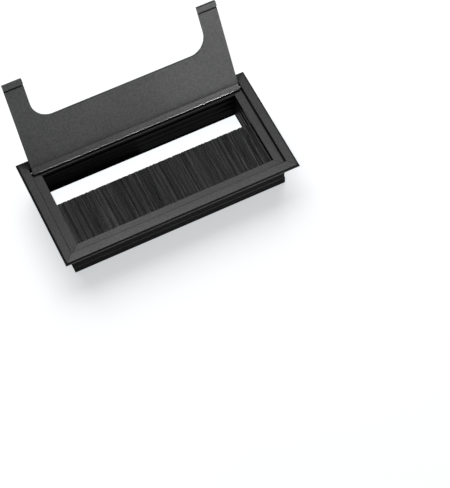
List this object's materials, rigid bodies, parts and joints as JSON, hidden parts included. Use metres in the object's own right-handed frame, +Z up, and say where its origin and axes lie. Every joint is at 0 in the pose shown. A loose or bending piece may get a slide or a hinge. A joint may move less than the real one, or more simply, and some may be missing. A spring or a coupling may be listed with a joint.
{
  "type": "desk grommet",
  "caption": "Rectangular flush desk cable grommet: mitred aluminium frame, brush strip across the opening and a notched lid that flips open.",
  "frame": {"origin": "middle of the front flange's underside, on the plane of the desk's top", "axes": "+X along the long side, +Y from the brush side to the hinge side, +Z up out of the desk"},
  "size_m": [0.16, 0.105, 0.0781],
  "materials": {
    "frame_aluminium": "fine-grained matte black anodised aluminium",
    "lid_aluminium": "fine-grained matte black anodised aluminium",
    "corner_key": "plain cast",
    "brush_steel": "plain rolled steel",
    "bristle_nylon": "fine black nylon filaments",
    "pin_steel": "bright drawn steel"
  },
  "bodies": {
    "frame": {"frame_front": "frame_aluminium", "frame_back": "frame_aluminium", "frame_left": "frame_aluminium", "frame_right": "frame_aluminium", "corner_key_front_left": "corner_key", "corner_key_front_right": "corner_key", "corner_key_back_left": "corner_key", "corner_key_back_right": "corner_key", "brush_channel": "brush_steel", "brush_core_wire": "brush_steel", "brush_bristles": "bristle_nylon"},
    "lid": {"lid": "lid_aluminium", "hinge_pin_left": "pin_steel", "hinge_pin_right": "pin_steel"}
  },
  "joints": [
    {"name": "lid_hinge", "type": "hinge", "parent": "frame", "child": "lid", "pos_m": [0, 0.0677, 0.00025], "axis": [1, 0, 0], "range_deg": [0, 122.5]}
  ]
}
